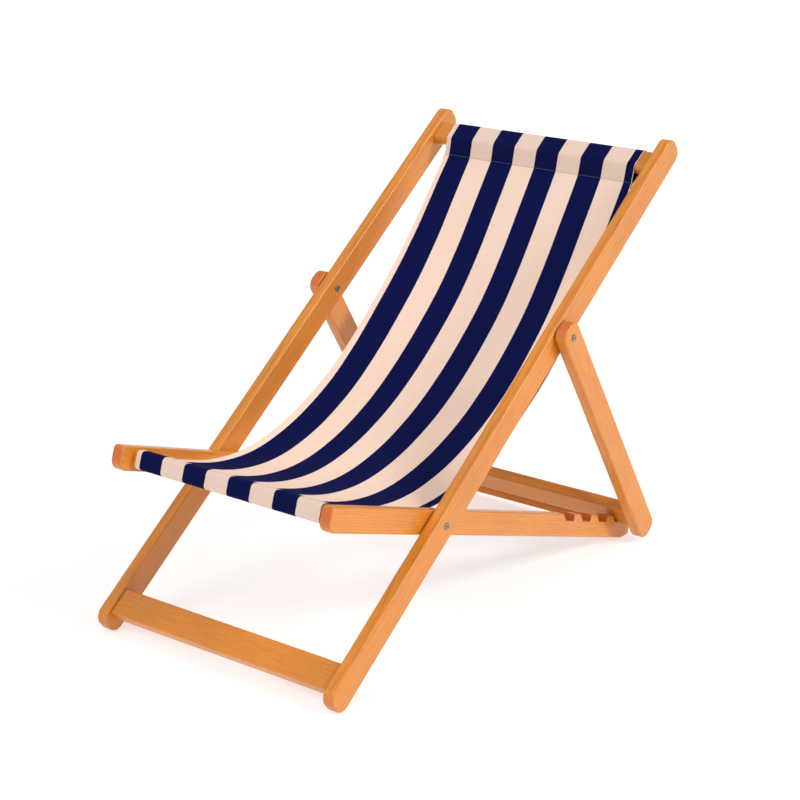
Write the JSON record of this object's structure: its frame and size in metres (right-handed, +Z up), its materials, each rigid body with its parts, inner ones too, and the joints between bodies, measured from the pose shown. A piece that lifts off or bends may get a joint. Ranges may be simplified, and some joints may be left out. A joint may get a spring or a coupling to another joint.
{
  "type": "folding deck chair",
  "caption": "Folding deck chair with a striped canvas sling hung between a top rail and a front bar, a notched seat frame and a hinged prop frame behind.",
  "frame": {"origin": "on the floor, under the middle of the bounding box of the chair set up at its lowest reclining step", "axes": "+Z up, -Y towards the sitter's feet, X across the chair"},
  "size_m": [0.595, 1.045, 0.779],
  "materials": {
    "wood": "satin varnish",
    "steel": "zinc plated",
    "canvas": "woven cotton canvas, striped"
  },
  "bodies": {
    "main_frame": {"main_rail_left": "wood", "main_rail_right": "wood", "top_rail": "wood", "foot_rail": "wood", "top_rail_dowels": "wood", "foot_rail_dowels": "wood", "seat_pivot_screw_left": "steel", "seat_pivot_nut_left": "steel", "seat_pivot_washer_left": "steel", "seat_pivot_screw_right": "steel", "seat_pivot_nut_right": "steel", "seat_pivot_washer_right": "steel", "prop_pivot_screw_left": "steel", "prop_pivot_nut_left": "steel", "prop_pivot_washer_left": "steel", "prop_pivot_screw_right": "steel", "prop_pivot_nut_right": "steel", "prop_pivot_washer_right": "steel", "sling": "canvas"},
    "seat_frame": {"seat_rail_left": "wood", "seat_rail_right": "wood", "front_bar": "wood", "rear_rail": "wood", "front_bar_dowels": "wood", "rear_rail_dowels": "wood"},
    "prop_frame": {"prop_leg_left": "wood", "prop_leg_right": "wood", "prop_crossbar": "wood", "prop_crossbar_dowels": "wood"}
  },
  "joints": [
    {"name": "seat_fold", "type": "hinge", "parent": "main_frame", "child": "seat_frame", "pos_m": [0, -0.21263, 0.23389], "axis": [1, 0, 0], "range_deg": [0, 55.2], "deforming": ["sling"]},
    {"name": "prop_fold", "type": "hinge", "parent": "main_frame", "child": "prop_frame", "pos_m": [0, 0.13355, 0.48726], "axis": [1, 0, 0], "range_deg": [0, 91.5]}
  ],
  "couplings": [
    {"joint": "prop_fold", "follows": "seat_fold", "ratio": 1.656}
  ]
}
